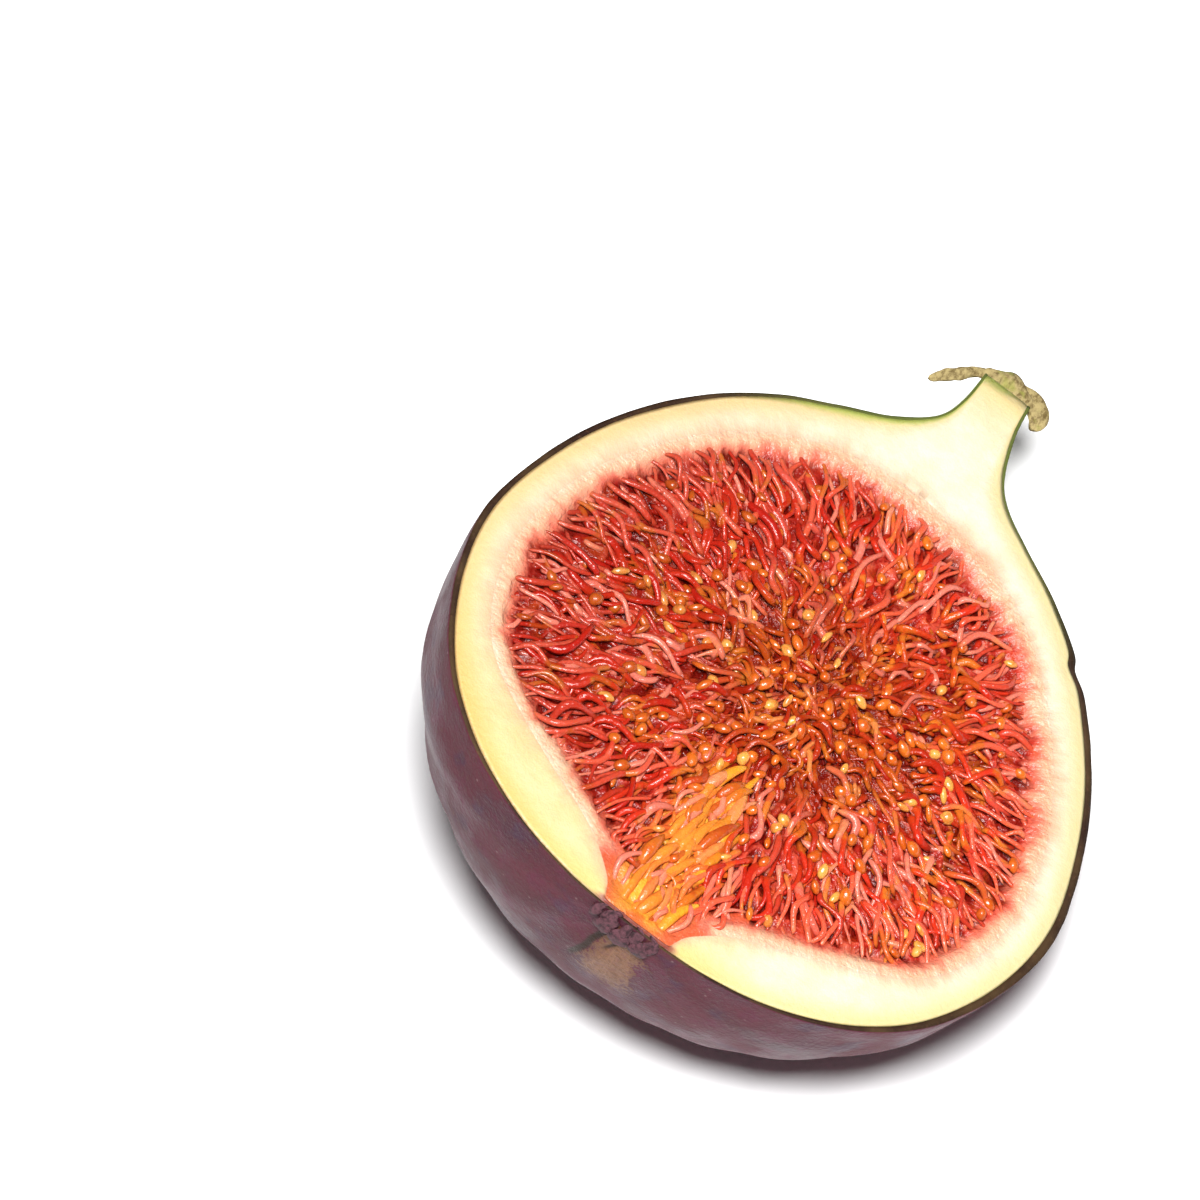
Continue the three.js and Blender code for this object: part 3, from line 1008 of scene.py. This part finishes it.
STRAND_GIRTH = [(0, 0.0), (0.04, 0.2), (0.4, 0.27), (0.65, 0.24), (0.85, 0.31), (0.96, 0.2), (1, 0.0)]
SEED_GIRTH = [(0, 0.0), (0.14, 0.34), (0.45, 0.56), (0.75, 0.46), (0.93, 0.2), (1, 0.0)]
SCALE_GIRTH = [(0, 0.0), (0.1, 0.7), (0.4, 1.0), (0.7, 0.75), (0.92, 0.3), (1, 0.0)]


def floret_shapes():
    return shape_collection("strands", [
        strand_shape(f"strand_{i}", 11, 6, STRAND_GIRTH, random.uniform(0.2, 0.7), random.uniform(0, 6.3),
                     random.uniform(4, 9), random.uniform(0.25, 0.6))
        for i in range(20)
    ])


def seed_shapes():
    return shape_collection("seeds", [
        strand_shape(f"seed_{i}", 6, 7, SEED_GIRTH, 0.05, random.uniform(0, 6.3)) for i in range(4)
    ])


def bract_shapes():
    return shape_collection("bracts", [
        strand_shape(f"bract_{i}", 8, 7, SCALE_GIRTH, random.uniform(0.1, 0.4), random.uniform(0, 6.3),
                     arch=1.0)
        for i in range(6)
    ])


def make_florets():
    strands = floret_shapes()
    red = floret_finish(
        "floret_flesh", root=(0.52, 0.032, 0.011), middle=(0.5, 0.025, 0.008), tip=(0.5, 0.045, 0.007),
        heart_root=(0.25, 0.014, 0.0015), heart_tip=(0.38, 0.055, 0.005),
    )
    golden = {"heart_root": (0.33, 0.034, 0.004), "heart_tip": (0.43, 0.07, 0.008)}
    pink = floret_finish(
        "floret_thread", root=(0.6, 0.076, 0.038), middle=(0.61, 0.086, 0.042), tip=(0.6, 0.083, 0.03),
        **golden,
    )
    pale = floret_finish(
        "rim_thread", root=(0.66, 0.16, 0.075), middle=(0.62, 0.083, 0.038), tip=(0.59, 0.052, 0.022),
        **golden,
    )

    def florets(name, ground, finish, **inputs):
        return grown(name, ground, Finish=finish, Reach=21.0, Shapes=strands, **inputs)

    return (
        florets("florets_low", ring_ground(0, -1.2, side=2.3), red, Spacing=0.95,
                lengths=(2.0, 4.6), Girth=1.15, turn=(0.5, 0.08, 0.42), Sink=1.3, Unevenness=0.5, Seed=3),
        florets("florets_high", ring_ground(0, -1.3, side=2.3), pink, Spacing=1.4,
                lengths=(2.2, 5.8), Girth=0.9, turn=(0.5, 0.05, 0.42), Sink=1.12, Unevenness=0.45, Seed=11),
        florets("florets_rim", ring_ground(-1.6, -0.3), pale, Spacing=0.75,
                lengths=(3.0, 4.6), Girth=0.85, turn=(0.5, 0.06, 0.35), Sink=0.76, Unevenness=0.3, Seed=17),
        florets("florets_eye", ring_ground(0, -0.8, high=-17.5), pale, Spacing=0.8,
                lengths=(1.8, 2.6), Girth=0.8, turn=(0.5, 0.1, 0.8), least_turn=(-0.5, 0, -0.8),
                Sink=0.62, Unevenness=0.3, Seed=19),
    )


def make_seeds():
    return grown(
        "fig_seeds", ring_ground(0, -1.2, low=-19), Spacing=1.0, shares=(0.6, 0.1),
        Reach=21.0, lengths=(1.3, 1.3), Girth=0.78, turn=(1, 0.2, 0.9),
        least_turn=(-1, -0.5, -0.9), Sink=0.5, Unevenness=0.4, Seed=23, Shapes=seed_shapes(),
        Finish=seed_finish(),
    )


def make_bracts():
    """The orange bracts that crowd the way from the eye to the heart."""
    finish = floret_finish(
        "bract_flesh", root=(0.778, 0.306, 0.066), middle=(0.752, 0.297, 0.017), tip=(0.804, 0.45, 0.044),
        heart_root=(0.648, 0.18, 0.011), heart_tip=(0.734, 0.297, 0.022),
    )
    return grown(
        "eye_bracts", flat_ground("ground", -2.2, 1.8, -23.0, -9), Spacing=0.7, shares=(0.7, 1.0),
        Reach=24.0, lengths=(3.4, 4.4), Girth=0.42, turn=(0.432, 0.054, 0.193),
        least_turn=(-0.5, -0.08, -0.35), Sink=0.75, Unevenness=0.35, Seed=31, Shapes=bract_shapes(),
        Finish=finish,
    )


# Eye and stalk end

SWEPT_SIDES = 16
SWEPT_ROWS = 26
END_LEAST = 0.02  # the least share of its width that a strip keeps at an end
EYE_HEIGHT = -23.4


def swept(name, line, half_widths, half_thickness, cup=0.0, ragged=0.1, seed=0.0, up=(0, 0, 1)):
    """A flattened strip along a line of points, cupped across, with ragged edges, closed at both ends."""
    path = smoothed(line, SWEPT_ROWS)
    widths = np.interp(np.linspace(0, 1, len(path)), np.linspace(0, 1, len(half_widths)), half_widths)
    along = np.gradient(path, axis=0)
    along /= np.linalg.norm(along, axis=1)[:, None]
    across = np.cross(along, np.asarray(up, float))
    across /= np.linalg.norm(across, axis=1)[:, None]
    normal = np.cross(across, along)
    loops = []
    for index, (point, width) in enumerate(zip(path, widths)):
        end = max(math.sin(math.pi * (index / SWEPT_ROWS)), 0.0) ** 0.35
        end = max(end, END_LEAST)
        loop = []
        for side in range(SWEPT_SIDES):
            turn = 2 * math.pi * side / SWEPT_SIDES
            out, up_share = math.cos(turn), math.sin(turn)
            near = point + (out, up_share, 0)
            wide = width * (1 + ragged * lump(*near, 0.9, seed)) * end
            thick = half_thickness * (1 + 1.5 * ragged * lump(*near, 0.6, seed + 3)) * end
            rise = thick * up_share + cup * width * out * out
            loop.append(point + across[index] * wide * out + normal[index] * rise)
        loops.append(loop)
    return ringed(name, loops, close=True)


def eye_scale(name, line, half_widths, half_thickness, **shape):
    """A strip along a line whose heights are given from the eye."""
    line = [(x, EYE_HEIGHT + y, z) for x, y, z in line]
    return swept(name, line, half_widths, half_thickness, up=(0, 1, 0), **shape)


def make_eye():
    """Dark lumps where the cut goes through the eye, and dry scales that lie over the skin."""
    lumps = [(-2.7, 0.4, 0.2), (-1.5, 0.75, 0.3), (-0.2, 0.45, 0.36), (0.55, 0.5, 0.24), (1.7, 0.6, 0.2)]
    fan = [(-1.9, 0.9, 2.6), (-0.3, 1.0, 2.9), (1.4, 0.9, 2.5)]
    scales = []
    for i, (x, wide, thick) in enumerate(lumps):
        line = [(x * 0.7, 0.9, -0.6), (x, 0.15, -0.3), (x * 1.1, -0.2, -0.9), (x * 1.15, -0.05, -1.7)]
        scales.append(eye_scale(f"eye_lump_{i}", line, [wide * 0.7, wide, wide, wide * 0.5], thick,
                                ragged=0.35, seed=i))
    for i, (x, wide, reach) in enumerate(fan):
        line = [(x * 0.6, -0.1, -0.9), (x * 0.85, -0.35, -reach * 0.5), (x, -0.2, -reach * 0.8),
                (x * 1.05, 0.1, -reach)]
        scales.append(eye_scale(f"eye_scale_{i}", line, [wide * 0.8, wide, wide * 0.8, wide * 0.3], 0.25,
                                cup=-0.1, ragged=0.3, seed=10 + i))
    return joined("eye_scales_dry", scales)


STRIP_LINE = [(0.4, 36.3, -0.9), (-1.5, 35.8, -0.9), (-2.9, 34.4, -1), (-4.4, 32.7, -1.1)]
FLAP_LINE = [(1, 36.5, -0.9), (2.9, 36.8, -1), (4.1, 35.9, -1.1), (4.25, 34.8, -1.2)]
CAP_LINE = [(-1.25, 35.95, -0.75), (0.3, 36.4, -0.7), (1.6, 36.45, -0.7), (3.1, 36.0, -0.75)]
CAP_BACK_LINE = [(-0.9, 36.0, -1.4), (1, 36.3, -2.0), (2.8, 36.0, -1.4)]


def make_stalk_end():
    strip = swept("stalk_strip", STRIP_LINE, [0.8, 0.5, 0.42, 0.6, 0.45], 0.32, cup=0.25, ragged=0.35, seed=2)
    flap = swept("stalk_flap", FLAP_LINE, [1.0, 0.8, 0.9, 0.8, 0.6], 0.5, cup=0.3, ragged=0.35, seed=6)
    cap = swept("stalk_cap", CAP_LINE, [0.7, 1.0, 1.1, 0.8], 0.5, cup=0.1, ragged=0.4, seed=9)
    under = swept("stalk_cap_back", CAP_BACK_LINE, [0.6, 0.8, 0.6], 0.45, ragged=0.4, seed=12)
    return joined("stalk_end_dry", [strip, flap, cap, under])


# Pieces

def dress(piece, finish, node):
    if finish:
        piece.data.materials.clear()
        piece.data.materials.append(finish)
    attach(piece, "root")
    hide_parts(node)


dress(make_skin(), skin_finish(), "skin")
dress(make_wall(), wall_finish(), "wall")
dress(make_bed(), bed_finish(), "florets")
for floret_piece in (*make_florets(), make_seeds(), make_bracts()):
    dress(floret_piece, None, "florets")
eye_dry = dry_finish("eye_dry", (0.11, 0.04, 0.052), (0.022, 0.007, 0.01))
dress(make_eye(), eye_dry, "eye_scales")
stalk_dry = dry_finish("stalk_dry", (0.36, 0.28, 0.12), (0.12, 0.08, 0.025), green=(0.26, 0.26, 0.05))
dress(make_stalk_end(), stalk_dry, "stalk_end")


# Floor, light and camera

PIXELS_PER_MM = 13.6  # of the photograph, at the cut face
PHOTO_PIXELS = 1200
FACE_PIXEL = (780, 708)  # where the middle of the cut face is in it
VIEW_AZIMUTH = math.radians(28.2)
VIEW_ELEVATION = math.radians(63.3)
LENS = 500
SENSOR = 36
FLOOR_HALF = 3.0
SURROUND_LIGHT = 0.045
# Azimuth and elevation in degrees, distance and size in metres, power in watts
SOFTBOX = (50, 82, 0.7, 0.8, 0.5)
LAMP = (32, 74, 0.7, 0.19, 10.0)


def view_axes(azimuth, elevation):
    """The directions to the right of a view, up in it and back from it."""
    back = Vector((
        math.sin(azimuth) * math.cos(elevation),
        -math.cos(azimuth) * math.cos(elevation),
        math.sin(elevation),
    ))
    right = Vector((math.cos(azimuth), math.sin(azimuth), 0))
    return right, back.cross(right), back


def make_camera():
    right, up, back = view_axes(VIEW_AZIMUTH, VIEW_ELEVATION)
    across = (PHOTO_PIXELS / 2 - FACE_PIXEL[0]) / PIXELS_PER_MM
    above = (FACE_PIXEL[1] - PHOTO_PIXELS / 2) / PIXELS_PER_MM
    aim = (FACE_MIDDLE + right * across + up * above) * MM
    distance = PHOTO_PIXELS / PIXELS_PER_MM * LENS / SENSOR * MM
    data = bpy.data.cameras.new("camera")
    data.lens = LENS
    data.sensor_width = SENSOR
    data.clip_start = 0.01
    camera = new_object("camera", data)
    facing = Matrix((right, up, back)).transposed().to_4x4()
    camera.matrix_world = Matrix.Translation(aim + back * distance) @ facing
    bpy.context.scene.camera = camera


def area_light(name, azimuth, elevation, distance, size, power):
    _, _, back = view_axes(math.radians(azimuth), math.radians(elevation))
    data = bpy.data.lights.new(name, "AREA")
    data.shape = "DISK"
    data.size = size
    data.energy = power
    light = new_object(name, data)
    light.location = back * distance
    light.rotation_mode = "QUATERNION"
    light.rotation_quaternion = back.to_track_quat("Z", "Y")


def make_studio():
    floor = flat_ground("floor", -FLOOR_HALF, FLOOR_HALF, -FLOOR_HALF, FLOOR_HALF)
    floor.data.materials.append(floor_finish())
    world = bpy.data.worlds.new("studio")
    world.use_nodes = True
    background = world.node_tree.nodes["Background"]
    background.inputs["Color"].default_value = (1, 1, 1, 1)
    background.inputs["Strength"].default_value = SURROUND_LIGHT
    bpy.context.scene.world = world
    area_light("softbox", *SOFTBOX)
    area_light("lamp", *LAMP)


make_camera()
make_studio()
bpy.context.scene.view_settings.view_transform = "Standard"
